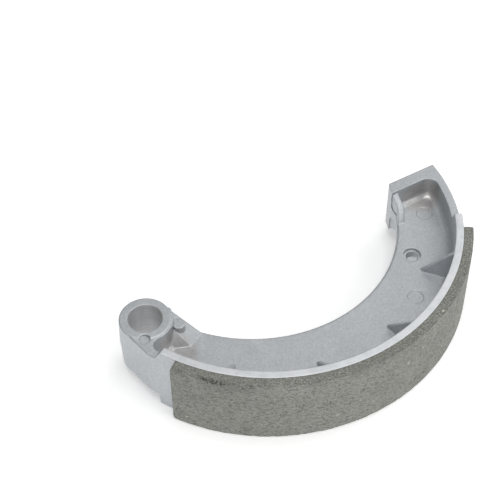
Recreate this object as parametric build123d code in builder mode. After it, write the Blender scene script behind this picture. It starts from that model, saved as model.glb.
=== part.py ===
from build123d import *
import os
from math import acos, atan2, cos, degrees, radians, sin, sqrt, tan

# Brake shoe with a bonded lining, for a small drum brake. Millimetres and degrees.
# The origin is the middle of the pivot bore and +Z runs along that bore. +X runs from the
# pivot towards the cam, on the brake's own centre line. The lining faces -Y.
# Sketches on the drum plane are measured from the drum's axis, and an angle round the drum
# is counted from the middle of the lining, positive towards the cam.

# Drum and lining
drum_radius = 75.0
lining_thickness = 3.6
lining_half_angle = 57.0
lining_corner = 1.2
shoe_width = 30.0

# Where the drum's axis stands from the pivot bore
drum_x = 58.9
drum_y = 14.9

# Rim that carries the lining, and the lower walls beyond its two ends
rim_wall = 2.8
rim_half_angle = 61.65
rim_step_run = 2.4
heel_rim_angle = 62.9
heel_step_run = 0.3
heel_angle = 66.4
saddle_width = 21.0
saddle_edge = 0.6

# Web and its inner edge, an arc about a point above the drum's axis
web_thickness = 3.6
web_edge = 0.8
hub_rise = 11.5
hub_radius = 54.5
hub_neck_angle = 220.6
hub_toe_angle = -26.0
neck_length = 14.0

# Pocket on each face
draft_angle = 1.7
floor_radius = 2.6
heel_corner = 3.2
toe_corner = 4.2

# Pivot boss
bore_diameter = 12.1
bore_chamfer = 0.2
boss_diameter = 18.2
boss_width = 21.6
boss_edge = 0.5
boss_parting_step = 0.15
skirt_wall = 3.75

# Cam block: end face below the drum's axis, end wall, width and inner corner
cam_face_drop = 4.05
cam_wall = 4.45
cam_width = 20.3
cam_inner_x = 50.9
cam_side_x = 49.1
cam_side_y = -8.9
cam_corner = 0.7
cam_outer_corner = 0.5

# Lips that slope up from the web to the cam block, along the inner edge of each face
lip_inset = 0.4
lip_width = 2.6
lip_edge = 0.5
lip_drop = 1.1
lip_reach = 13.1
lip_bulge = 0.6
lower_lip_reach = 17.0
lower_lip_bulge = 0.4

# Rounded bead along the inner edge of the lower face
bead_height = 2.3
bead_crest = 1.1
bead_shoulder = 1.2
bead_reach = 8.0
bead_fade = 0.3

# Ramps from the boss down to the web, measured from the pivot bore, and their ejector marks
ramp_direction = -63.3
ramp_drop = 1.2
ramp_reach = 16.3
ramp_slope = 36.6
lower_ramp_reach = 19.0
lower_ramp_slope = 40.0
ramp_side_direction = -111.5
ramp_side_reach = 7.8
ramp_side_slope = 49.2
lower_ramp_side_reach = 6.9
ramp_edge = 1.2
pad_diameter = 4.3
pad_x = 9.9
pad_y = -6.15
pad_drop = 2.7
lower_pad_x = 12.7
lower_pad_y = -4.8
lower_pad_drop = 2.9

# Gussets
rib_count = 4
rib_pitch = 29.7
rib_centre = 1.9
rib_ridge = 1.2
rib_root = 4.0
rib_foot_radius = 57.6
rib_top_drop = 0.8

# Spring hole
hole_diameter = 4.6
hole_x = 43.0
hole_y = -32.1
seat_diameter = 6.5
seat_depth = 1.0

# Ejector marks on the face that shows
mark_depth = 0.2
toe_mark_diameter = 6.2
toe_mark_radius = 61.4
toe_mark_angle = 73.55
web_mark_diameter = 6.0
web_mark_radius = 59.2
web_mark_angle = 33.3
heel_mark_diameter = 4.0
heel_mark_depth = 0.6
heel_mark_x = -4.3
heel_mark_y = -7.9

# Places that follow from the sizes above
half_width = shoe_width / 2
half_web = web_thickness / 2
lining_back = drum_radius - lining_thickness
rim_inner = lining_back - rim_wall
saddle_top = saddle_width / 2
cam_top = cam_width / 2
boss_top = boss_width / 2
boss_radius = boss_diameter / 2
skirt_radius = bore_diameter / 2 + skirt_wall
pivot = (-drum_x, -drum_y)
stock_radius = drum_radius + 5.0
drum = Plane(origin=(drum_x, drum_y, 0))
hub_sweep = 360 + hub_toe_angle - hub_neck_angle
base = (Align.CENTER, Align.CENTER, Align.MIN)
under = (Align.CENTER, Align.CENTER, Align.MAX)


def round_drum(radius, angle):
    """Point at a radius from the drum's axis, at an angle from the middle of the lining."""
    return (radius * sin(radians(angle)), -radius * cos(radians(angle)))


def beyond(edge, centre, radius):
    """How far the middle of an edge lies outside a circle in plan."""
    middle = edge @ 0.5
    return (Vector(middle.X, middle.Y, 0) - Vector(centre)).length - radius


def across_rim(angle, away):
    """Plane that looks out along the drum's radius, with x running along the rim."""
    x, y = round_drum(lining_back, angle)
    along = (away * cos(radians(angle)), away * sin(radians(angle)), 0)
    return Plane(origin=(drum_x + x, drum_y + y, 0), x_dir=along, z_dir=(away * x, away * y, 0))


def pocket_outline(shrink):
    """Plan of the pocket, drawn round the drum's axis and shrunk inwards by its draft."""
    end_wall = -cam_face_drop - cam_wall - shrink
    with BuildSketch() as plan:
        Circle(rim_inner - shrink)
        with Locations(pivot):
            Circle(skirt_radius + shrink, mode=Mode.SUBTRACT)
            with Locations((skirt_radius, 0)):
                corner = (Align.MAX, Align.MIN)
                Rectangle(stock_radius, stock_radius, align=corner, mode=Mode.SUBTRACT)
        with Locations((cam_inner_x - lip_reach, end_wall)):
            Rectangle(stock_radius, stock_radius, align=Align.MIN, mode=Mode.SUBTRACT)
        heel_side = plan.vertices().sort_by_distance(round_drum(rim_inner, -rim_half_angle))[0]
        fillet(heel_side, radius=heel_corner - shrink)
        toe_side = plan.vertices().sort_by_distance((rim_inner, end_wall))[0]
        fillet(toe_side, radius=toe_corner - shrink)
    return plan.sketch


# Pocket tool: the hollow between the rim, the boss and the cam block, with a rounded floor
with BuildPart() as pocket:
    with BuildSketch(drum.offset(half_width)):
        add(pocket_outline(0))
    with BuildSketch(drum.offset(half_web)):
        add(pocket_outline((half_width - half_web) * tan(radians(draft_angle))))
    loft(ruled=True)
    fillet(pocket.edges().group_by(Axis.Z)[0], radius=floor_radius)

# Rib tool: a gusset between the rim and the web, wider towards its root, drawn along +X
with BuildPart() as rib:
    rib_rise = half_width - rib_top_drop - half_web
    rib_run = rim_inner - rib_foot_radius
    rib_length = sqrt(rib_rise**2 + rib_run**2)
    rib_depth = rib_rise * rib_run / rib_length
    ridge_half = rib_ridge / 2
    root_half = rib_root - ridge_half
    with BuildSketch(Plane.XZ):
        with BuildLine():
            Polyline(
                (rib_foot_radius, half_web),
                (rim_inner, half_width - rib_top_drop),
                (rim_inner + rim_wall / 2, half_width - rib_top_drop),
                (rim_inner + rim_wall / 2, 0),
                (rib_foot_radius, 0),
                close=True,
            )
        make_face()
    extrude(amount=rib_root, both=True)
    ridge_start = (rib_foot_radius - rib_run, 0, half_web - rib_rise)
    with BuildSketch(Plane(origin=ridge_start, x_dir=(0, -1, 0), z_dir=(rib_run, 0, rib_rise))):
        with BuildLine():
            Polyline(
                (ridge_half, 0),
                (root_half, 2 * rib_depth),
                (-root_half, 2 * rib_depth),
                (-ridge_half, 0),
                close=True,
            )
        make_face()
    extrude(amount=3 * rib_length, mode=Mode.INTERSECT)

# Inner edge of the web, from the boss along the neck, round the hub arc and up to the cam block
hub_centre = (drum_x, drum_y + hub_rise, 0)
neck_turn = radians(hub_neck_angle)
neck_out = (cos(neck_turn), sin(neck_turn), 0)
neck_back = (sin(neck_turn), -cos(neck_turn), 0)
neck_foot = Vector(hub_centre) + hub_radius * Vector(neck_out)
neck_plane = Plane(origin=neck_foot, x_dir=neck_out, z_dir=neck_back)
toe_turn = radians(hub_toe_angle)
toe_foot = Vector(hub_centre) + hub_radius * Vector(cos(toe_turn), sin(toe_turn), 0)

def bank(direction, top, reach, slope):
    """Bank against the boss on the upper face, falling to the web in one direction."""
    fall = (cos(radians(direction)), sin(radians(direction)), 0)
    side = (sin(radians(direction)), -cos(radians(direction)), 0)
    crest = reach - (top - half_web) / tan(radians(slope))
    with BuildPart() as mound:
        with BuildSketch(Plane(origin=(0, 0, 0), x_dir=fall, z_dir=side)):
            with BuildLine():
                Polyline(
                    (-boss_diameter, 0),
                    (-boss_diameter, top),
                    (crest, top),
                    (reach, half_web),
                    (reach, 0),
                    close=True,
                )
            make_face()
        extrude(amount=2 * boss_diameter, both=True)
    return mound.part


def ramp(top, reach, slope, side_reach):
    """Ramp beside the neck on the upper face, with a rounded edge on the hub's side."""
    with BuildPart() as wedge:
        add(bank(ramp_direction, top, reach, slope))
        add(bank(ramp_side_direction, top, side_reach, ramp_side_slope), mode=Mode.INTERSECT)
        with BuildSketch(neck_plane.offset(-1)):
            Rectangle(boss_diameter, top, align=Align.MIN)
        extrude(amount=neck_length, mode=Mode.INTERSECT)
        hub_face = wedge.faces().sort_by(Axis(neck_foot, neck_out))[0]
        hub_edge = hub_face.edges().filter_by(lambda edge: 0.1 < abs((edge % 0.5).Z) < 0.9)
        fillet(hub_edge, radius=ramp_edge)
    return wedge.part


def lip(reach, bulge):
    """Thin wall on the inner edge of the upper face, sloping from the cam block to the web."""
    lip_top = cam_top - lip_drop
    cam_end = Plane(origin=(drum_x, drum_y - cam_face_drop, 0), x_dir=(0, -1, 0), z_dir=(-1, 0, 0))
    with BuildPart() as wall:
        with BuildSketch(cam_end):
            with BuildLine():
                Polyline((reach, half_web), (reach, 0), (0, 0), (0, lip_top), (cam_wall, lip_top))
                SagittaArc((cam_wall, lip_top), (reach, half_web), bulge)
            make_face()
        extrude(amount=-stock_radius)
        with BuildSketch(drum):
            with BuildLine():
                inner_radius = hub_radius + lip_inset
                toe = CenterArc((0, hub_rise), inner_radius, hub_toe_angle - reach, reach)
                bend = Line(toe @ 1, (cam_side_x + lip_inset, cam_side_y))
                Line(bend @ 1, (cam_inner_x + lip_inset, -cam_face_drop))
                offset(amount=lip_width, side=Side.RIGHT)
            make_face()
        extrude(amount=half_width, mode=Mode.INTERSECT)
        curved = wall.faces().filter_by(GeomType.CYLINDER)
        crest = curved.filter_by(lambda face: face.normal_at().Z > 0.3)[0]
        long_edges = crest.edges().filter_by(lambda edge: abs((edge @ 0).Z - (edge @ 1).Z) > lip_edge)
        fillet(long_edges, radius=lip_edge)
    return wall.part


# Section of the bead: x is measured out from the inner edge and y up from the middle of the web
with BuildSketch() as bead_section:
    with BuildLine():
        bead_top = half_web + bead_height
        Line((0, 0), (0, bead_top - bead_shoulder))
        shoulder = (bead_crest, bead_top - bead_shoulder)
        EllipticalCenterArc(shoulder, bead_crest, bead_shoulder, start_angle=180, arc_size=-90)
        Bezier(
            (bead_crest, bead_top),
            (bead_reach / 3, bead_top),
            (bead_reach / 2.4, half_web + bead_fade),
            (bead_reach, half_web),
        )
        Line((bead_reach, half_web), (bead_reach, 0))
        Line((bead_reach, 0), (0, 0))
    make_face()

# Bead tool: the section carried along the neck and round the hub arc
with BuildPart() as bead:
    with BuildSketch(neck_plane):
        add(bead_section.sketch)
    extrude(amount=neck_length)
    with BuildSketch(neck_plane):
        add(bead_section.sketch)
    revolve(axis=Axis(hub_centre, (0, 0, 1)), revolution_arc=hub_sweep)

# Ramp and lip tools of the two faces, drawn on the upper one
upper_ramp = ramp(boss_top - ramp_drop, ramp_reach, ramp_slope, ramp_side_reach)
lower_ramp = ramp(saddle_top, lower_ramp_reach, lower_ramp_slope, lower_ramp_side_reach)
upper_lip = lip(lip_reach, lip_bulge)
lower_lip = lip(lower_lip_reach, lower_lip_bulge)

# Tangent from the end of the rim's back to the boss
heel_reach = Vector(round_drum(lining_back, -heel_angle)) - Vector(pivot)
heel_turn = degrees(acos(boss_radius / heel_reach.length))
heel_tangent = Vector(pivot) + heel_reach.normalized().rotate(Axis.Z, -heel_turn) * boss_radius

# Casting of the shoe
with BuildPart() as shoe_casting:

    # Outline that the pockets are cut from
    with BuildSketch(drum) as outline:
        with BuildLine():
            hub_arc = CenterArc((0, hub_rise), hub_radius, hub_neck_angle, hub_sweep)
            neck = Line(hub_arc @ 0, hub_arc @ 0 - (hub_arc % 0) * neck_length)
            Line(neck @ 1, pivot)
            heel = Line(pivot, heel_tangent)
            toe_angle = degrees(atan2(sqrt(lining_back**2 - cam_face_drop**2), cam_face_drop))
            back = CenterArc((0, 0), lining_back, -90 - heel_angle, heel_angle + toe_angle)
            Line(heel @ 1, back @ 0)
            end_face = Line(back @ 1, (cam_inner_x, -cam_face_drop))
            Polyline(end_face @ 1, (cam_side_x, cam_side_y), hub_arc @ 1)
        make_face()
        fillet(outline.vertices().sort_by_distance(end_face @ 1)[0], radius=cam_corner)
        fillet(outline.vertices().sort_by_distance(end_face @ 0)[0], radius=cam_outer_corner)
    extrude(amount=half_width, both=True)

    # Pockets on both faces
    add(pocket.part, mode=Mode.SUBTRACT)
    add(mirror(pocket.part, about=Plane.XY, mode=Mode.PRIVATE), mode=Mode.SUBTRACT)

    # Lower walls beyond the ends of the rim, on the upper face and then on the lower one
    for angle, away, top, run, face in (
        (-rim_half_angle, -1, saddle_top, rim_step_run, 1),
        (-heel_rim_angle, -1, saddle_top, heel_step_run, -1),
        (rim_half_angle, 1, cam_top, rim_step_run, 1),
        (rim_half_angle, 1, cam_top, rim_step_run, -1),
    ):
        with BuildSketch(across_rim(angle, away)):
            with BuildLine():
                Polyline(
                    (0, face * half_width),
                    (run, face * top),
                    (stock_radius, face * top),
                    (stock_radius, face * half_width),
                    close=True,
                )
            make_face()
        extrude(amount=stock_radius / 3, both=True, mode=Mode.SUBTRACT)

    # Rounding of the web's hub side on the upper face
    web_top = shoe_casting.edges().filter_by_position(Axis.Z, half_web - 0.01, half_web + 0.01)
    hub_side = web_top.filter_by(lambda edge: abs(beyond(edge, hub_centre, hub_radius)) < 0.1)
    fillet(hub_side, radius=web_edge)

    # Rounding of the heel's outside on both faces
    saddles = shoe_casting.edges().filter_by(lambda edge: abs(abs((edge @ 0.5).Z) - saddle_top) < 0.01)
    outside = saddles.filter_by(lambda edge: beyond(edge, (drum_x, drum_y, 0), rim_inner) > rim_wall / 2)
    fillet(outside, radius=saddle_edge)

    # Pivot boss, drafted from its parting line, with a slight step there
    with BuildSketch(Plane.XZ) as boss_section:
        with BuildLine():
            swell = boss_top * tan(radians(draft_angle))
            Polyline(
                (0, -boss_top),
                (boss_radius, -boss_top),
                (boss_radius + swell, 0),
                (boss_radius + swell + boss_parting_step, 0),
                (boss_radius + boss_parting_step, boss_top),
                (0, boss_top),
                close=True,
            )
        make_face()
        shoulders = boss_section.vertices().filter_by(lambda corner: corner.X > bore_diameter / 2)
        fillet(shoulders.group_by(Axis.Y)[0] + shoulders.group_by(Axis.Y)[-1], radius=boss_edge)
    revolve(axis=Axis.Z)

    # Gussets, staggered by half a pitch between the two faces
    with Locations(drum):
        first = rib_centre - rib_pitch * (rib_count - 1) / 2 - 90
        span = rib_pitch * (rib_count - 1)
        with PolarLocations(0, rib_count, start_angle=first, angular_range=span, endpoint=True):
            add(rib.part)
        start = first + rib_pitch / 2
        span = rib_pitch * (rib_count - 2)
        with PolarLocations(0, rib_count - 1, start_angle=start, angular_range=span, endpoint=True):
            add(mirror(rib.part, about=Plane.XY, mode=Mode.PRIVATE))

    # Ramps beside the neck, lips to the cam block, and the bead of the lower face
    add(upper_ramp)
    add(upper_lip)
    for tool in (lower_ramp, lower_lip, bead.part):
        add(mirror(tool, about=Plane.XY, mode=Mode.PRIVATE))

    # Ejector pad on the upper ramp, and the mark sunk in the lower one
    with Locations((pad_x, pad_y, 0)):
        Cylinder(radius=pad_diameter / 2, height=boss_top - pad_drop, align=base)
    with Locations((lower_pad_x, lower_pad_y, lower_pad_drop - boss_top)):
        Cylinder(radius=pad_diameter / 2, height=half_width, align=under, mode=Mode.SUBTRACT)

    # Ejector marks
    with Locations((heel_mark_x, heel_mark_y, saddle_top - heel_mark_depth)):
        Cylinder(radius=heel_mark_diameter / 2, height=half_width, align=base, mode=Mode.SUBTRACT)
    with Locations(drum.offset(half_web - mark_depth)):
        with Locations(round_drum(toe_mark_radius, toe_mark_angle)):
            Cylinder(radius=toe_mark_diameter / 2, height=half_width, align=base, mode=Mode.SUBTRACT)
        with Locations(round_drum(web_mark_radius, web_mark_angle)):
            Cylinder(radius=web_mark_diameter / 2, height=half_width, align=base, mode=Mode.SUBTRACT)

    # Spring hole, with a shallow seat round it
    with Locations(drum.offset(half_web)):
        with Locations((hole_x, hole_y)):
            CounterBoreHole(
                radius=hole_diameter / 2,
                counter_bore_radius=seat_diameter / 2,
                counter_bore_depth=seat_depth,
            )

    # Pivot bore
    Cylinder(radius=bore_diameter / 2, height=shoe_width, mode=Mode.SUBTRACT)
    bore_edges = shoe_casting.edges().filter_by(
        lambda edge: edge.geom_type == GeomType.CIRCLE and abs(edge.radius - bore_diameter / 2) < 0.001
    )
    chamfer(bore_edges, length=bore_chamfer)

# Lining, bonded to the back of the rim
with BuildPart() as friction_lining:
    with BuildSketch(drum):
        with BuildLine():
            rubbing = CenterArc((0, 0), drum_radius, -90 - lining_half_angle, 2 * lining_half_angle)
            bonded = CenterArc((0, 0), lining_back, -90 - lining_half_angle, 2 * lining_half_angle)
            Line(rubbing @ 0, bonded @ 0)
            Line(rubbing @ 1, bonded @ 1)
        make_face()
    extrude(amount=half_width, both=True)
    straight = friction_lining.edges().filter_by(GeomType.LINE)
    fillet(straight.filter_by(Axis.Z, reverse=True), radius=lining_corner)

shoe_casting.part.label = "shoe_casting"
friction_lining.part.label = "friction_lining"

os.makedirs("parts", exist_ok=True)
export_step(shoe_casting.part, "parts/shoe_casting.step")
export_step(friction_lining.part, "parts/friction_lining.step")
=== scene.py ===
import logging
from dataclasses import dataclass, field
from enum import Enum

import bmesh
import bpy
import numpy as np
from mathutils import Matrix, Vector


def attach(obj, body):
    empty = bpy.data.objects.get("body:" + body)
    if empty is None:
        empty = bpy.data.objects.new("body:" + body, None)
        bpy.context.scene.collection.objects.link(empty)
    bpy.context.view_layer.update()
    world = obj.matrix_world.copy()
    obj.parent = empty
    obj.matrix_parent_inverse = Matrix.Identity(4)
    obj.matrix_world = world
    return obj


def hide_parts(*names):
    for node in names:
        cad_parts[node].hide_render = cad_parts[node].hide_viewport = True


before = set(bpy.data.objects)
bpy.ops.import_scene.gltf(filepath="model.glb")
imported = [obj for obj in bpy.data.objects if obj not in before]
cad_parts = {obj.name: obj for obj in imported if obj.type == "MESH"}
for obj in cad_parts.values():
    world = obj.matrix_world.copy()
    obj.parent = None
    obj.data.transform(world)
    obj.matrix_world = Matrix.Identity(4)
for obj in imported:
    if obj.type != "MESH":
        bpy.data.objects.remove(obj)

log = logging.getLogger("brake_shoe")

MM = 0.001
Socket = bpy.types.NodeSocket
Operand = Socket | float


class Op(Enum):
    """Sums that the finishes are worked out with."""

    SUBTRACT = "SUBTRACT"
    MULTIPLY = "MULTIPLY"
    MULTIPLY_ADD = "MULTIPLY_ADD"
    MAXIMUM = "MAXIMUM"
    ABSOLUTE = "ABSOLUTE"
    ARCTAN2 = "ARCTAN2"
    SQRT = "SQRT"


class Blend(Enum):
    """Ways in which one colour lies over another."""

    MIX = "MIX"
    MULTIPLY = "MULTIPLY"


class Face(Enum):
    """The shoe's two faces, named by the way they look along the drum's axis."""

    UPPER = 1
    LOWER = -1


@dataclass(frozen=True)
class ShoeSizes:
    """Sizes of the shoe in metres and degrees, in the frame of the pivot bore."""

    drum_x: float = 58.9 * MM
    drum_y: float = 14.9 * MM
    drum_radius: float = 75.0 * MM
    lining_thickness: float = 3.6 * MM
    lining_half_angle: float = 57.0
    lining_corner: float = 1.2 * MM
    half_width: float = 15.0 * MM
    end_face_y: float = 10.85 * MM
    bore_radius: float = 6.05 * MM

    @property
    def back_radius(self) -> float:
        """Radius of the rim's back, which the lining is bonded to."""
        return self.drum_radius - self.lining_thickness

    def place(self, arc: np.ndarray, radius: np.ndarray, height: np.ndarray) -> np.ndarray:
        """Points given round the drum, as rows of x, y and z.

        Args:
            arc: Angle in radians from the middle of the lining, positive to the cam.
            radius: Distance from the drum's axis.
            height: Place along the drum's axis.

        Returns:
            The points, one a row.
        """
        x = self.drum_x + radius * np.sin(arc)
        y = self.drum_y - radius * np.cos(arc)
        return np.stack([x, y, height], axis=-1)


SIZES = ShoeSizes()


@dataclass(frozen=True)
class Clouds:
    """A cloudy pattern: the width of a cloud, and the noise heights where it starts and is full."""

    size: float
    detail: float
    start: float
    full: float
    share: float = 1.0
    rough: float = 0.55
    warp: float = 0.0


class Board:
    """The node tree of one material, with short calls for what the finishes need."""

    edge_samples: int = 6
    edge_turn: tuple = (0.01, 0.2)

    def __init__(self, name: str) -> None:
        """Starts an empty material.

        Args:
            name: The material's name.
        """
        self.material = bpy.data.materials.new(name)
        self.material.use_nodes = True
        self.tree = self.material.node_tree
        self.tree.nodes.clear()
        self.coordinates = self.node("ShaderNodeTexCoord").outputs["Object"]
        self.x, self.y, self.z = self.split(self.coordinates)

    def node(self, kind: str) -> bpy.types.Node:
        """Adds one node of a kind."""
        return self.tree.nodes.new(kind)

    def join(self, value: Operand | tuple, socket: Socket) -> None:
        """Links a socket to an input, or sets the input to a plain value.

        Args:
            value: The socket or the plain value.
            socket: The input.
        """
        if isinstance(value, bpy.types.NodeSocket):
            self.tree.links.new(value, socket)
        else:
            socket.default_value = value

    def split(self, vector: Socket) -> tuple[Socket, Socket, Socket]:
        """Splits a vector or a colour into its three numbers.

        Args:
            vector: The vector or colour.

        Returns:
            The three numbers.
        """
        parts = self.node("ShaderNodeSeparateXYZ")
        self.join(vector, parts.inputs[0])
        return tuple(parts.outputs)

    def vector(self, x: Operand, y: Operand, z: Operand) -> Socket:
        """Joins three numbers to a vector.

        Args:
            x: First number.
            y: Second number.
            z: Third number.

        Returns:
            The vector.
        """
        joined = self.node("ShaderNodeCombineXYZ")
        for value, socket in zip((x, y, z), joined.inputs):
            self.join(value, socket)
        return joined.outputs[0]

    def sum(self, op: Op, *values: Operand) -> Socket:
        """One step of arithmetic.

        Args:
            op: The step.
            values: Its one to three operands.

        Returns:
            The result.
        """
        maths = self.node("ShaderNodeMath")
        maths.operation = op.value
        for value, socket in zip(values, maths.inputs):
            self.join(value, socket)
        return maths.outputs[0]

    def times(self, first: Operand, second: Operand) -> Socket:
        """Product of two numbers."""
        return self.sum(Op.MULTIPLY, first, second)

    def gap(self, value: Socket, centre: float) -> Socket:
        """How far a number is from a centre, to either side."""
        return self.sum(Op.ABSOLUTE, self.sum(Op.SUBTRACT, value, centre))

    def length(self, x: Operand, y: Operand) -> Socket:
        """Length of the plane vector (x, y)."""
        return self.sum(Op.SQRT, self.sum(Op.MULTIPLY_ADD, y, y, self.times(x, x)))

    def step(self, value: Operand, low: float, high: float) -> Socket:
        """Smooth step from 0 at low to 1 at high, or falling if low is above high.

        Args:
            value: The number that it follows.
            low: Where it is 0.
            high: Where it is 1.

        Returns:
            A number from 0 to 1.
        """
        ranged = self.node("ShaderNodeMapRange")
        ranged.interpolation_type = "SMOOTHSTEP"
        first, last, start, end = (low, high, 0.0, 1.0) if low < high else (high, low, 1.0, 0.0)
        for number, item in enumerate((value, first, last, start, end)):
            self.join(item, ranged.inputs[number])
        return ranged.outputs[0]

    def noise(self, size: float, detail: float = 3.0, at: Socket | None = None,
              rough: float = 0.55, warp: float = 0.0) -> Socket:
        """Cloudy noise with features of about one size.

        Args:
            size: Width of a feature, in metres, or in the units of the vector given.
            detail: Number of finer layers.
            at: Where it is read, or None for the piece's own coordinates.
            rough: Share of each finer layer.
            warp: How far the pattern is pulled about.

        Returns:
            A number around 0.5.
        """
        cloud = self.node("ShaderNodeTexNoise")
        self.join(at or self.coordinates, cloud.inputs["Vector"])
        self.join(1.0 / size, cloud.inputs["Scale"])
        self.join(detail, cloud.inputs["Detail"])
        self.join(rough, cloud.inputs["Roughness"])
        self.join(warp, cloud.inputs["Distortion"])
        return cloud.outputs["Fac"]

    def clouds(self, pattern: Clouds, at: Socket | None = None) -> Socket:
        """A cloudy pattern that steps from nothing to its full share.

        Args:
            pattern: The pattern.
            at: Where it is read, or None for the piece's own coordinates.

        Returns:
            A number from 0 to the pattern's share.
        """
        height = self.noise(pattern.size, pattern.detail, at, pattern.rough, pattern.warp)
        return self.times(self.step(height, pattern.start, pattern.full), pattern.share)

    def cells(self, size: float, at: Socket | None = None) -> tuple[Socket, Socket]:
        """Scattered points, one in each cell of a size.

        Args:
            size: Width of a cell.
            at: Where it is read, or None for the piece's own coordinates.

        Returns:
            Distance to the nearest point in cells, and the random colour of its cell.
        """
        scatter = self.node("ShaderNodeTexVoronoi")
        self.join(at or self.coordinates, scatter.inputs["Vector"])
        self.join(1.0 / size, scatter.inputs["Scale"])
        return scatter.outputs["Distance"], scatter.outputs["Color"]

    def mix(self, share: Operand, below: Operand | tuple, above: Operand | tuple,
            blend: Blend = Blend.MIX) -> Socket:
        """Lays one colour over another.

        Args:
            share: How much of the upper colour shows.
            below: The lower colour.
            above: The upper colour.
            blend: The way in which it lies over the lower.

        Returns:
            The mixed colour.
        """
        mixer = self.node("ShaderNodeMix")
        mixer.data_type = "RGBA"
        mixer.blend_type = blend.value
        self.join(share, mixer.inputs[0])
        self.join(below, mixer.inputs[6])
        self.join(above, mixer.inputs[7])
        return mixer.outputs[2]

    def between(self, share: Operand, low: Operand, high: Operand) -> Socket:
        """Number that goes from low to high as share goes from 0 to 1.

        Args:
            share: The number that it follows.
            low: Its value where share is 0.
            high: Its value where share is 1.

        Returns:
            The number.
        """
        mixer = self.node("ShaderNodeMix")
        for value, socket in zip((share, low, high), (mixer.inputs[0], mixer.inputs[2], mixer.inputs[3])):
            self.join(value, socket)
        return mixer.outputs[0]

    def bump(self, height: Socket, depth: float, normal: Socket | None = None) -> Socket:
        """Normal of a surface with a height laid on it.

        Args:
            height: Height from 0 to 1.
            depth: What a height of 1 stands for, in metres.
            normal: The normal below it, or None for the mesh's own.

        Returns:
            The new normal.
        """
        relief = self.node("ShaderNodeBump")
        self.join(1.0, relief.inputs["Strength"])
        self.join(depth, relief.inputs["Distance"])
        self.join(height, relief.inputs["Height"])
        if normal is not None:
            self.join(normal, relief.inputs["Normal"])
        return relief.outputs[0]

    def soft_edges(self, radius: float) -> tuple[Socket, Socket]:
        """Rounding of the sharp edges, as they have on a casting.

        Args:
            radius: The rounding's radius, in metres.

        Returns:
            The rounded normal, and a number that is 0 on flats and rises at the edges.
        """
        rounded = self.node("ShaderNodeBevel")
        rounded.samples = self.edge_samples
        self.join(radius, rounded.inputs["Radius"])
        plain = self.node("ShaderNodeNewGeometry").outputs["Normal"]
        across = self.node("ShaderNodeVectorMath")
        across.operation = "DOT_PRODUCT"
        self.join(rounded.outputs[0], across.inputs[0])
        self.join(plain, across.inputs[1])
        turned = self.sum(Op.SUBTRACT, 1.0, across.outputs["Value"])
        return rounded.outputs[0], self.step(turned, *self.edge_turn)

    def openness(self, reach: float) -> Socket:
        """How open the surface is to its surroundings: 1 on flats, less in creases.

        Args:
            reach: How far off it looks, in metres.

        Returns:
            A number from 0 to 1.
        """
        shade = self.node("ShaderNodeAmbientOcclusion")
        shade.samples = self.edge_samples
        self.join(reach, shade.inputs["Distance"])
        return shade.outputs["AO"]

    def round_drum(self, sizes: ShoeSizes) -> tuple[Socket, Socket]:
        """Place round the drum's axis.

        Args:
            sizes: The shoe's sizes.

        Returns:
            Distance along the rim's back from the middle of the lining, and the radius.
        """
        x = self.sum(Op.SUBTRACT, self.x, sizes.drum_x)
        y = self.sum(Op.SUBTRACT, sizes.drum_y, self.y)
        return self.times(self.sum(Op.ARCTAN2, x, y), sizes.back_radius), self.length(x, y)

    def surface(self, colour: Operand | tuple, roughness: Operand, normal: Socket,
                metallic: float, specular: float, glow: float = 0.0) -> bpy.types.Material:
        """Ends the material with its shader.

        Args:
            colour: Colour of the surface.
            roughness: Roughness from 0 to 1.
            normal: Normal of the surface.
            metallic: Share of bare metal.
            specular: Strength of the reflection where it isn't metal.
            glow: Strength of the white light that it gives off itself.

        Returns:
            The material.
        """
        shader = self.node("ShaderNodeBsdfPrincipled")
        self.join(colour, shader.inputs["Base Color"])
        self.join(roughness, shader.inputs["Roughness"])
        self.join(normal, shader.inputs["Normal"])
        shader.inputs["Metallic"].default_value = metallic
        shader.inputs["Specular IOR Level"].default_value = specular
        shader.inputs["Emission Strength"].default_value = glow
        output = self.node("ShaderNodeOutputMaterial")
        self.join(shader.outputs[0], output.inputs[0])
        return self.material


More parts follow.
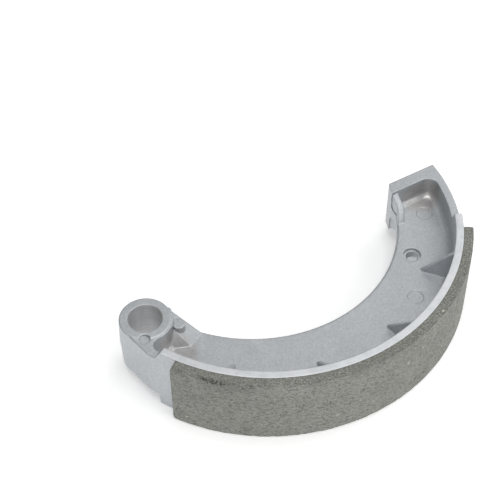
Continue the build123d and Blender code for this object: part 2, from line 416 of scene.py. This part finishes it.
@dataclass(frozen=True)
class CastSkin:
    """Blasted cast skin: clouds, flow marks, pits, painted shade in the creases and pockets, and pale
    edges of wear and painted highlight.
    """

    plain: tuple = (0.570, 0.596, 0.617, 1.0)
    dark: tuple = (0.540, 0.564, 0.584, 1.0)
    pale: tuple = (0.625, 0.650, 0.667, 1.0)
    stain: tuple = (0.600, 0.590, 0.596, 1.0)
    # pale of the flow marks, and of the painted highlight, partly wear, along the edges
    pale_mark_and_highlight: tuple = (0.90, 0.915, 0.92, 1.0)
    # warm tint with painted shade, laid in the pockets below the walls' tops
    pocket_tint_and_shade: tuple = (0.520, 0.511, 0.507, 1.0)
    # dark grey of the pits, and of the painted shade in the creases
    grime_and_shade: tuple = (0.17, 0.17, 0.17, 1.0)
    dark_clouds: Clouds = Clouds(22 * MM, 4, 0.35, 0.70)
    pale_clouds: Clouds = Clouds(6 * MM, 5, 0.50, 0.80, share=0.7, warp=0.4)
    stains: Clouds = Clouds(14 * MM, 5, 0.55, 0.80, share=0.6, warp=0.8)
    flow_size: float = 11 * MM
    flow_warp: float = 1.6
    flow_width: float = 0.08
    flow_patches: Clouds = Clouds(23 * MM, 2, 0.52, 0.66, share=0.11)
    pit_cell: float = 6.5 * MM
    pit_reach: tuple = (0.055, 0.03)
    pit_share: float = 0.35
    crease_reach: float = 0.45 * MM
    crease_open: tuple = (0.93, 0.55)
    crease_shade_share: float = 0.7
    speckle: Clouds = Clouds(0.8 * MM, 3, 0.3, 0.7, rough=0.7)
    speckle_share: float = 0.16
    # clouds that vary the edges' pale painted highlight, partly wear
    rubbing: Clouds = Clouds(3 * MM, 4, 0.40, 0.62)
    rubbed_and_lit_shares: tuple = (0.10, 0.6)
    pocket_places: tuple = ((6 * MM, -13.5 * MM, 7 * MM), (121 * MM, 6 * MM, 8 * MM))
    pocket_cloud: float = 5 * MM
    pocket_fade: float = 5 * MM
    pocket_ragged: float = 6 * MM
    pocket_top: tuple = (9.5 * MM, 7.5 * MM)

    def pocket_share(self, board: Board) -> Socket:
        """Share of the warm tint and painted shade, which fade out round the pockets at the shoe's two
        ends.

        The distance in plan from either place, with noise added, says how much: it is full
        inside the place's reach and gone a fade further out. It ends below the walls' tops.

        Args:
            board: The material's node tree.

        Returns:
            A number from 0 to 1.
        """
        shares = []
        for place_x, place_y, reach in self.pocket_places:
            x = board.sum(Op.SUBTRACT, board.x, place_x)
            y = board.sum(Op.SUBTRACT, board.y, place_y)
            ragged = board.noise(self.pocket_cloud, 4)
            far = board.sum(Op.MULTIPLY_ADD, ragged, self.pocket_ragged, board.length(x, y))
            shares.append(board.step(far, reach + self.pocket_fade, reach))
        return board.times(board.sum(Op.MAXIMUM, *shares), board.step(board.z, *self.pocket_top))

    def colour(self, board: Board, pockets: Socket, edges: Socket) -> Socket:
        """Colour of the skin.

        Dark and pale clouds and brownish stains lie over the plain skin, then the pockets' warm tint and
        painted shade, faint flow marks where a noise crosses its middle height, small dark pits, painted
        shade in the creases from how shut in the surface is, a fine speckle, and a pale painted
        highlight, partly wear, along the edges.

        Args:
            board: The material's node tree.
            pockets: Share of the pockets' warm tint and painted shade.
            edges: A number that rises at the edges.

        Returns:
            The colour.
        """
        colour = board.mix(board.clouds(self.dark_clouds), self.plain, self.dark)
        colour = board.mix(board.clouds(self.pale_clouds), colour, self.pale)
        colour = board.mix(board.clouds(self.stains), colour, self.stain)
        # warm tint with painted shade in the pockets
        colour = board.mix(pockets, colour, self.pocket_tint_and_shade)
        flow = board.gap(board.noise(self.flow_size, 2, warp=self.flow_warp), 0.5)
        flow = board.times(board.step(flow, self.flow_width, 0.0), board.clouds(self.flow_patches))
        colour = board.mix(flow, colour, self.pale_mark_and_highlight)
        near, _ = board.cells(self.pit_cell)
        pits = board.times(board.step(near, *self.pit_reach), self.pit_share)
        colour = board.mix(pits, colour, self.grime_and_shade)
        # painted shade: creases go towards the dark grey by how shut in the ambient occlusion finds them
        crease_shade = board.step(board.openness(self.crease_reach), *self.crease_open)
        colour = board.mix(board.times(crease_shade, self.crease_shade_share), colour, self.grime_and_shade)
        speckle = board.clouds(self.speckle)
        speckle = board.vector(speckle, speckle, speckle)
        colour = board.mix(self.speckle_share, colour, speckle, Blend.MULTIPLY)
        # painted highlight, partly wear: every edge that the rounded normal finds, concave creases too,
        # goes paler
        rubbed_and_lit = board.between(board.clouds(self.rubbing), *self.rubbed_and_lit_shares)
        return board.mix(board.times(edges, rubbed_and_lit), colour, self.pale_mark_and_highlight)


@dataclass(frozen=True)
class MachinedFaces:
    """The faces that were machined after casting: rim tops, end face and bore."""

    bright: tuple = (0.90, 0.915, 0.92, 1.0)
    rim: tuple = (0.73, 0.748, 0.77, 1.0)
    end_face: tuple = (0.50, 0.515, 0.51, 1.0)
    end_face_pale: tuple = (0.63, 0.64, 0.64, 1.0)
    bore: tuple = (0.74, 0.745, 0.75, 1.0)
    bore_dark: tuple = (0.62, 0.623, 0.626, 1.0)
    dull: tuple = (0.570, 0.596, 0.617, 1.0)
    rim_lines: Clouds = Clouds(1.0, 3, 0.30, 0.75, share=0.35)
    rim_pitch: tuple = (90.0, 5200.0)
    rim_dull: Clouds = Clouds(5 * MM, 5, 0.42, 0.62, share=0.4, rough=0.7)
    rim_scuffs: Clouds = Clouds(1.3 * MM, 4, 0.55, 0.70, share=0.35, rough=0.7)
    end_streaks: Clouds = Clouds(1.0, 4, 0.42, 0.68)
    end_pitch: tuple = (420.0, 26.0)
    bore_rings: Clouds = Clouds(1.0, 4, 0.40, 0.75)
    ring_pitch: tuple = (70.0, 2400.0)
    bore_scores: Clouds = Clouds(1.0, 3, 0.40, 0.70, share=0.5)
    score_pitch: tuple = (9.0, 60.0)

    def rim_colour(self, board: Board, arc: Socket, radius: Socket) -> Socket:
        """Colour of the turned rim tops: fine lines round the drum's axis, dull patches, scuffs.

        Args:
            board: The material's node tree.
            arc: Distance along the rim's back.
            radius: Distance from the drum's axis.

        Returns:
            The colour.
        """
        along, across = self.rim_pitch
        at = board.vector(board.times(arc, along), board.times(radius, across), board.z)
        colour = board.mix(board.clouds(self.rim_lines, at), self.rim, self.bright)
        colour = board.mix(board.clouds(self.rim_dull), colour, self.dull)
        return board.mix(board.clouds(self.rim_scuffs), colour, self.bright)

    def end_colour(self, board: Board) -> Socket:
        """Colour of the milled end face: bands and streaks across its width.

        Args:
            board: The material's node tree.

        Returns:
            The colour.
        """
        along, across = self.end_pitch
        at = board.vector(board.times(board.x, along), 0.0, board.times(board.z, across))
        return board.mix(board.clouds(self.end_streaks, at), self.end_face, self.end_face_pale)

    def bore_colour(self, board: Board) -> Socket:
        """Colour of the reamed bore: dark rings round it and scores along it.

        Args:
            board: The material's node tree.

        Returns:
            The colour.
        """
        around, along = self.ring_pitch
        at = board.vector(
            board.times(board.x, around), board.times(board.y, around), board.times(board.z, along))
        colour = board.mix(board.clouds(self.bore_rings, at), self.bore, self.bore_dark)
        around, along = self.score_pitch
        turn = board.times(board.sum(Op.ARCTAN2, board.x, board.y), around)
        at = board.vector(turn, 0.0, board.times(board.z, along))
        return board.mix(board.clouds(self.bore_scores, at), colour, self.bore_dark)


@dataclass(frozen=True)
class CastFinish:
    """Die-cast aluminium: its skin, with the machined faces shown where they lie."""

    skin: CastSkin = CastSkin()
    faces: MachinedFaces = MachinedFaces()
    skin_roughness: float = 0.46
    pocket_roughness: float = 0.34
    machined_roughness: float = 0.42
    roughness_spread: float = 0.12
    edge_radius: float = 0.5 * MM
    face_margin: tuple = (0.08 * MM, 0.03 * MM)
    bore_margin: tuple = (0.2 * MM, 0.1 * MM)
    grain_cell: float = 0.45 * MM
    grain_depth: float = 0.035 * MM
    swell_cell: float = 4 * MM
    swell_depth: float = 0.10 * MM
    machined_relief: float = 0.15

    def reached(self, board: Board, value: Socket, place: float) -> Socket:
        """Whether a number has reached a machined face's place."""
        outer, inner = self.face_margin
        return board.step(value, place - outer, place - inner)

    def material(self, sizes: ShoeSizes) -> bpy.types.Material:
        """Builds the casting's material.

        Args:
            sizes: The shoe's sizes, which say where the machined faces are.

        Returns:
            The material.
        """
        board = Board("cast_aluminium")
        arc, radius = board.round_drum(sizes)
        on_rim = self.reached(board, board.sum(Op.ABSOLUTE, board.z), sizes.half_width)
        on_end = self.reached(board, board.y, sizes.end_face_y)
        outer, inner = self.bore_margin
        reach = board.length(board.x, board.y)
        in_bore = board.step(reach, sizes.bore_radius + outer, sizes.bore_radius + inner)
        machined = board.sum(Op.MAXIMUM, on_rim, board.sum(Op.MAXIMUM, on_end, in_bore))
        pockets = self.skin.pocket_share(board)
        normal, edges = board.soft_edges(self.edge_radius)
        colour = self.skin.colour(board, pockets, edges)
        colour = board.mix(on_rim, colour, self.faces.rim_colour(board, arc, radius))
        colour = board.mix(on_end, colour, self.faces.end_colour(board))
        colour = board.mix(in_bore, colour, self.faces.bore_colour(board))
        roughness = board.between(pockets, self.skin_roughness, self.pocket_roughness)
        roughness = board.between(machined, roughness, self.machined_roughness)
        roughness = board.sum(Op.MULTIPLY_ADD, board.noise(3 * MM), self.roughness_spread, roughness)
        cast = board.between(machined, 1.0, self.machined_relief)
        normal = board.bump(board.times(board.noise(self.grain_cell), cast), self.grain_depth, normal)
        normal = board.bump(board.times(board.noise(self.swell_cell), cast), self.swell_depth, normal)
        return board.surface(colour, roughness, normal, metallic=0.75, specular=0.5)


@dataclass(frozen=True)
class FrictionFinish:
    """Moulded friction compound: olive grey, with fibres, dark grains and open pores."""

    ground: tuple = (0.285, 0.289, 0.263, 1.0)
    ground_dark: tuple = (0.155, 0.158, 0.141, 1.0)
    ground_pale: tuple = (0.425, 0.430, 0.392, 1.0)
    pore: tuple = (0.045, 0.045, 0.040, 1.0)
    fibre: tuple = (0.90, 0.87, 0.70, 1.0)
    sawn: tuple = (0.135, 0.138, 0.122, 1.0)
    roughness: float = 0.88
    clouds: Clouds = Clouds(16 * MM, 4, 0.35, 0.70, share=0.35)
    mottle: Clouds = Clouds(0.34 * MM, 3, 0.48, 0.68, rough=0.8)
    mottle_stretch: float = 0.8
    scores: Clouds = Clouds(0.45 * MM, 3, 0.48, 0.66)
    score_stretch: float = 0.45
    sawn_depth: tuple = (0.45 * MM, 0.25 * MM)
    grit: Clouds = Clouds(0.6 * MM, 2, 0.42, 0.56, share=0.7)
    flake_cell: float = 3.2 * MM
    flake_stretch: float = 0.5
    flake_reach: tuple = (0.12, 0.04)
    flake_chance: tuple = (0.5, 0.7)
    flake_share: float = 0.6
    pin_holes: Clouds = Clouds(0.7 * MM, 2, 0.66, 0.72)
    smudge_height: float = 13.2 * MM
    smudge_fade: tuple = (3.4 * MM, 0.6 * MM)
    smudges: Clouds = Clouds(12 * MM, 3, 0.45, 0.62, share=0.40)
    pore_share: float = 0.85
    grain_cell: float = 0.5 * MM
    grain_depth: float = 0.12 * MM

    def flakes(self, board: Board, arc: Socket, radius: Socket) -> Socket:
        """Share of the pale fibres: a small long spot in some of the cells.

        Args:
            board: The material's node tree.
            arc: Distance along the rim's back.
            radius: Distance from the drum's axis.

        Returns:
            A number from 0 to the flakes' share.
        """
        at = board.vector(board.times(arc, self.flake_stretch), radius, board.z)
        distance, tint = board.cells(self.flake_cell, at)
        picked = board.step(board.split(tint)[0], *self.flake_chance)
        return board.times(board.times(board.step(distance, *self.flake_reach), picked), self.flake_share)

    def material(self, sizes: ShoeSizes) -> bpy.types.Material:
        """Builds the lining's material.

        Args:
            sizes: The shoe's sizes.

        Returns:
            The material.
        """
        board = Board("friction_compound")
        arc, radius = board.round_drum(sizes)
        colour = board.mix(board.clouds(self.clouds), self.ground, self.ground_dark)
        at = board.vector(board.times(arc, self.mottle_stretch), radius, board.z)
        colour = board.mix(board.clouds(self.mottle, at), colour, self.ground_pale)
        at = board.vector(board.times(arc, self.score_stretch), radius, board.z)
        colour = board.mix(board.clouds(self.scores, at), colour, self.ground_dark)
        inner, outer = self.sawn_depth
        height = board.sum(Op.ABSOLUTE, board.z)
        sawn = board.step(height, sizes.half_width - inner, sizes.half_width - outer)
        colour = board.mix(board.times(sawn, board.clouds(self.grit)), colour, self.sawn)
        colour = board.mix(self.flakes(board, arc, radius), colour, self.fibre)
        colour = board.mix(board.clouds(self.pin_holes), colour, self.pore)
        band = board.step(board.gap(board.z, self.smudge_height), *self.smudge_fade)
        colour = board.mix(board.times(band, board.clouds(self.smudges)), colour, self.ground_dark)
        deep = board.node("ShaderNodeAttribute")
        deep.attribute_name = "pore_depth"
        colour = board.mix(board.times(deep.outputs["Fac"], self.pore_share), colour, self.pore)
        normal = board.bump(board.noise(self.grain_cell), self.grain_depth)
        return board.surface(colour, self.roughness, normal, metallic=0.0, specular=0.3)


@dataclass
class ShoeCasting:
    """The casting: its shape is the CAD node, and this gives it its finish."""

    node: str = "shoe_casting"
    slot: str = "casting"
    finish: CastFinish = field(default_factory=CastFinish)

    def dress(self) -> bpy.types.Object:
        """Puts the finish on the node.

        Returns:
            The node's object.
        """
        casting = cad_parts[self.node]
        casting.data.materials.clear()
        casting.data.materials.append(self.finish.material(SIZES))
        log.info("%s: %d faces dressed", self.node, len(casting.data.polygons))
        return casting


@dataclass
class FrictionLining:
    """The lining, as a fine surface with pores, chipped edges and sawn sides."""

    name: str = "friction_lining_surface"
    node: str = "friction_lining"
    slot: str = "lining"
    pitch: float = 0.30 * MM
    seed: int = 11
    lattice: tuple = (1024, 256)
    pore_depth: float = 0.12 * MM
    pore_cell: float = 0.40 * MM
    pore_heights: tuple = (0.63, 0.83)
    spot_cell: float = 6 * MM
    heel_place: float = -61 * MM
    heel_reach: float = 11 * MM
    arris_height: float = 14.3 * MM
    arris_reach: float = 2.0 * MM
    arris_cell: float = 13 * MM
    arris_noise: float = 0.8
    arris_strength: float = 1.7
    arris_least: float = 0.55
    relief: float = 0.07 * MM
    relief_cells: tuple = (0.9 * MM, 0.45 * MM)
    relief_shares: tuple = (0.6, 0.4)
    sawn_relief: float = 0.16 * MM
    sawn_cells: tuple = (0.7 * MM, 2.2 * MM)
    chip: float = 0.45 * MM
    chip_cell: float = 1.5 * MM
    chip_threshold: float = 0.45
    chip_least: float = 0.25
    chip_fall: float = 0.6
    chip_row: float = 9.0
    rubbing_from: float = 0.7
    sawn_from: float = 0.97
    merge_distance: float = 0.001 * MM
    finish: FrictionFinish = field(default_factory=FrictionFinish)

    def grain(self, along: np.ndarray, across: np.ndarray, cell: float, seed: int) -> np.ndarray:
        """Smooth random heights from 0 to 1 on a lattice of one cell size.

        Each point takes the heights of the four lattice corners round it, weighted by the
        smooth step of its place between them.

        Args:
            along: First coordinate of each point, in metres.
            across: Second coordinate of each point, in metres.
            cell: Width of a lattice cell, in metres.
            seed: Number that picks the lattice's heights.

        Returns:
            The heights, in the shape of the coordinates.
        """
        columns, rows = self.lattice
        heights = np.random.default_rng(self.seed + seed).random((columns, rows))
        column, row = along / cell + columns / 2, across / cell + rows / 2
        left, low = np.floor(column).astype(int), np.floor(row).astype(int)
        s, t = column - left, row - low
        s, t = s * s * (3 - 2 * s), t * t * (3 - 2 * t)
        left, right, low, high = left % columns, (left + 1) % columns, low % rows, (low + 1) % rows
        here = heights[left, low] * (1 - s) + heights[right, low] * s
        over = heights[left, high] * (1 - s) + heights[right, high] * s
        return here * (1 - t) + over * t

    def half_width(self, arc: np.ndarray) -> np.ndarray:
        """Half the lining's width at an angle: full, less a quarter circle at each corner.

        Args:
            arc: Angle from the middle of the lining, in radians.

        Returns:
            The half widths.
        """
        left = (np.radians(SIZES.lining_half_angle) - np.abs(arc)) * SIZES.drum_radius
        short = np.clip(SIZES.lining_corner - left, 0.0, SIZES.lining_corner)
        drop = SIZES.lining_corner - np.sqrt(SIZES.lining_corner**2 - short**2)
        return SIZES.half_width - drop

    def pores(self, run: np.ndarray, rise: np.ndarray, across: np.ndarray) -> np.ndarray:
        """How deep each point lies in a pore, from 0 to 1.

        Fine heights are multiplied by how porous the place is, and a pore opens where the
        product passes a threshold. A place is porous where a wide noise is high, or along the
        upper edge: there two bell curves, round the heel end and round the edge's height, and
        a noise along the edge say how much.

        Args:
            run: Distance along the rubbing face, in metres.
            rise: Height on the lining, in metres.
            across: Height plus depth, which runs on round the edges.

        Returns:
            The depths.
        """
        spot = self.grain(run, across, self.spot_cell, 4)
        heel = np.exp(-(((run - self.heel_place) / self.heel_reach) ** 2))
        arris = np.exp(-(((rise - self.arris_height) / self.arris_reach) ** 2))
        arris = arris * np.maximum(heel, self.arris_noise * self.grain(run, 0 * run, self.arris_cell, 8))
        arris = self.arris_strength * arris * (self.arris_least + (1.0 - self.arris_least) * spot)
        porous = np.maximum(spot, arris)
        opens, deepest = self.pore_heights
        pits = self.grain(run, across, self.pore_cell, 3) * porous
        return np.clip((pits - opens) / (deepest - opens), 0.0, 1.0)

    def surface(self, arc: np.ndarray, depth: np.ndarray,
                side: np.ndarray) -> tuple[np.ndarray, np.ndarray]:
        """Points of the lining's skin, and how deep each lies in a pore.

        A point stands at a share of the thickness and of the half width, and is then drawn
        in by pores and grain from the rubbing face, by grain from the two sawn sides, and by
        chips from the edges between them. Nothing is drawn in at the bonded face.

        Args:
            arc: Angle from the middle of the lining, in radians.
            depth: Share of the thickness, 0 at the bonded face and 1 at the rubbing face.
            side: Share of the half width, from -1 to 1.

        Returns:
            The points, one a row, and the depth in a pore from 0 to 1.
        """
        run = arc * SIZES.drum_radius
        rise = side * self.half_width(arc)
        level = depth * SIZES.lining_thickness
        across = rise + level
        rubbing = np.clip((depth - self.rubbing_from) / (1.0 - self.rubbing_from), 0.0, 1.0)
        sawn = np.clip((np.abs(side) - self.sawn_from) / (1.0 - self.sawn_from), 0.0, 1.0)
        edge = rubbing * sawn
        (coarse, fine), (most, rest) = self.relief_cells, self.relief_shares
        grain = most * self.grain(run, across, coarse, 1) + rest * self.grain(run, across, fine, 2)
        pore = self.pores(run, rise, across)
        fine, coarse = self.sawn_cells
        rough = 0.5 * self.grain(run, across, fine, 5) + 0.5 * self.grain(run, across, coarse, 6)
        chips = self.grain(run, self.chip_row * np.sign(rise), self.chip_cell, 7) - self.chip_threshold
        chips = np.clip(chips, 0.0, 1.0) / (1.0 - self.chip_threshold)
        broken = edge * self.chip * (self.chip_least + (1.0 - self.chip_least) * chips)
        fall = rubbing * (self.relief * grain + self.pore_depth * pore) + self.chip_fall * broken
        inset = sawn * self.sawn_relief * rough + broken
        points = SIZES.place(arc, SIZES.back_radius + level - fall, rise - np.sign(rise) * inset)
        return points, np.clip(pore * rubbing + 0.5 * edge * chips, 0.0, 1.0)

    def patches(self) -> list[tuple[np.ndarray, np.ndarray, np.ndarray]]:
        """Grids that cover the skin: rubbing face, two sides, two ends and the back.

        Returns:
            A grid of angles, of depths and of sides for each.
        """
        turn = np.radians(SIZES.lining_half_angle)
        arcs = np.linspace(-turn, turn, int(2 * turn * SIZES.drum_radius / self.pitch) + 1)
        sides = np.linspace(-1.0, 1.0, int(2 * SIZES.half_width / self.pitch) + 1)
        depths = np.linspace(0.0, 1.0, int(SIZES.lining_thickness / self.pitch) + 1)
        grids = []
        arc, side = np.meshgrid(arcs, sides, indexing="ij")
        grids.append((arc, np.ones_like(arc), side))
        arc, depth = np.meshgrid(arcs, depths, indexing="ij")
        for face in Face:
            grids.append((arc, depth, np.full_like(arc, float(face.value))))
        depth, side = np.meshgrid(depths, sides, indexing="ij")
        for end in (-turn, turn):
            grids.append((np.full_like(depth, end), depth, side))
        arc, side = np.meshgrid(arcs, np.array([-1.0, 1.0]), indexing="ij")
        grids.append((arc[1:-1], np.zeros_like(arc[1:-1]), side[1:-1]))
        return grids

    def build(self) -> bpy.types.Object:
        """Builds the lining's mesh, closes its seams and puts it in the CAD node's place.

        Returns:
            The lining's object.
        """
        points, depths, faces, start = [], [], [], 0
        for arc, depth, side in self.patches():
            place, pore = self.surface(arc, depth, side)
            rows, columns = arc.shape
            index = np.arange(rows * columns).reshape(rows, columns) + start
            quads = np.stack([index[:-1, :-1], index[1:, :-1], index[1:, 1:], index[:-1, 1:]], axis=-1)
            points.append(place.reshape(-1, 3))
            depths.append(pore.ravel())
            faces.append(quads.reshape(-1, 4))
            start += rows * columns
        mesh = bpy.data.meshes.new(self.name)
        mesh.from_pydata(np.concatenate(points).tolist(), [], np.concatenate(faces).tolist())
        attribute = mesh.attributes.new("pore_depth", "FLOAT", "POINT")
        attribute.data.foreach_set("value", np.concatenate(depths).astype(np.float32))
        self.close(mesh)
        lining = bpy.data.objects.new(self.name, mesh)
        bpy.context.scene.collection.objects.link(lining)
        lining.data.materials.append(self.finish.material(SIZES))
        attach(lining, "root")
        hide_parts(self.node)
        log.info("%s: %d faces", self.name, len(mesh.polygons))
        return lining

    def close(self, mesh: bpy.types.Mesh) -> None:
        """Merges the patches' shared edges, fills the back's two end strips, turns faces out.

        Args:
            mesh: The lining's mesh.
        """
        work = bmesh.new()
        work.from_mesh(mesh)
        bmesh.ops.remove_doubles(work, verts=work.verts, dist=self.merge_distance)
        rim = [edge for edge in work.edges if edge.is_boundary]
        bmesh.ops.holes_fill(work, edges=rim, sides=0)
        bmesh.ops.recalc_face_normals(work, faces=work.faces)
        work.to_mesh(mesh)
        work.free()
        mesh.polygons.foreach_set("use_smooth", np.ones(len(mesh.polygons), bool))


@dataclass(frozen=True)
class Lamp:
    """A soft square light: place in millimetres in the camera's heading, width in metres, watts."""

    name: str
    place: tuple
    width: float
    power: float


@dataclass
class Studio:
    """Camera, floor and lights, set out from the camera's own heading."""

    heading: float = 29.904
    camera_place: tuple = (-6.756, -341.863, 390.239)
    look_down: float = 48.927
    roll: float = 0.567
    lens: float = 99.70
    sensor: float = 36.0
    clipping: tuple = (0.01, 20.0)
    floor_half: float = 2.5
    floor_colour: tuple = (0.93, 0.93, 0.93, 1.0)
    floor_glow: float = 0.27
    floor_roughness: float = 0.9
    floor_specular: float = 0.2
    floor_cloud: float = 0.4
    floor_relief: float = 0.1 * MM
    sky_colour: tuple = (1.0, 1.0, 1.0, 1.0)
    sky: float = 0.23
    lamps: tuple = (
        Lamp("overhead", (0, -150, 1500), 0.9, 10.5),
        Lamp("back", (950, 950, 1150), 1.2, 7.5),
        Lamp("right_front", (1050, -650, 860), 0.8, 5.5),
        Lamp("front", (-150, -1150, 700), 0.9, 2.4),
    )

    def turned(self, point: tuple) -> Vector:
        """Place in the shoe's frame of a point in millimetres in the camera's heading."""
        turn = Matrix.Rotation(-np.radians(self.heading), 3, "Z")
        return turn @ (Vector(point) * MM) + Vector((SIZES.drum_x, SIZES.drum_y, 0.0))

    def camera(self) -> bpy.types.Object:
        """Sets up the camera at the angle that the shoe is seen from.

        Returns:
            The camera.
        """
        data = bpy.data.cameras.new("camera")
        data.lens, data.sensor_width = self.lens, self.sensor
        data.clip_start, data.clip_end = self.clipping
        camera = bpy.data.objects.new("camera", data)
        down, roll = np.radians(self.look_down), np.radians(self.roll)
        ahead = Vector((0.0, np.cos(down), -np.sin(down)))
        below = Vector((0.0, -np.sin(down), -np.cos(down)))
        right = Vector((1.0, 0.0, 0.0))
        across = np.cos(roll) * right + np.sin(roll) * below
        under = -np.sin(roll) * right + np.cos(roll) * below
        axes = Matrix((across, -under, -ahead)).transposed()
        turn = Matrix.Rotation(-np.radians(self.heading), 3, "Z")
        camera.matrix_world = Matrix.Translation(self.turned(self.camera_place)) @ (turn @ axes).to_4x4()
        bpy.context.scene.collection.objects.link(camera)
        bpy.context.scene.camera = camera
        return camera

    def floor(self) -> bpy.types.Object:
        """Lays the pale floor under the shoe.

        Returns:
            The floor.
        """
        board = Board("pale_floor")
        cloud = board.bump(board.noise(self.floor_cloud, 2), self.floor_relief)
        half, low = self.floor_half, -SIZES.half_width
        mesh = bpy.data.meshes.new("floor")
        corners = [(-half, -half, low), (half, -half, low), (half, half, low), (-half, half, low)]
        mesh.from_pydata(corners, [], [(0, 1, 2, 3)])
        floor = bpy.data.objects.new("floor", mesh)
        floor.data.materials.append(board.surface(
            self.floor_colour, self.floor_roughness, cloud, metallic=0.0,
            specular=self.floor_specular, glow=self.floor_glow))
        bpy.context.scene.collection.objects.link(floor)
        return floor

    def hang(self, lamp: Lamp) -> bpy.types.Object:
        """Hangs a light that faces the shoe.

        Args:
            lamp: The light.

        Returns:
            Its object.
        """
        data = bpy.data.lights.new(lamp.name, "AREA")
        data.size, data.energy = lamp.width, lamp.power
        light = bpy.data.objects.new(lamp.name, data)
        light.location = self.turned(lamp.place)
        aim = Vector((SIZES.drum_x, SIZES.drum_y, 0.0)) - light.location
        light.rotation_euler = aim.to_track_quat("-Z", "Y").to_euler()
        bpy.context.scene.collection.objects.link(light)
        return light

    def build(self) -> None:
        """Builds the whole studio."""
        self.camera()
        self.floor()
        for lamp in self.lamps:
            self.hang(lamp)
        world = bpy.data.worlds.new("studio")
        world.use_nodes = True
        background = world.node_tree.nodes["Background"]
        background.inputs["Color"].default_value = self.sky_colour
        background.inputs["Strength"].default_value = self.sky
        bpy.context.scene.world = world
        bpy.context.scene.view_settings.view_transform = "Standard"
        log.info("studio: camera, floor and %d lights", len(self.lamps))


def main() -> None:
    """Builds the shoe's pieces and the studio, and reports each."""
    logging.basicConfig(level=logging.INFO, format="%(name)s: %(message)s")
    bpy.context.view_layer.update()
    ShoeCasting().dress()
    FrictionLining().build()
    Studio().build()


if __name__ == "__main__":
    main()
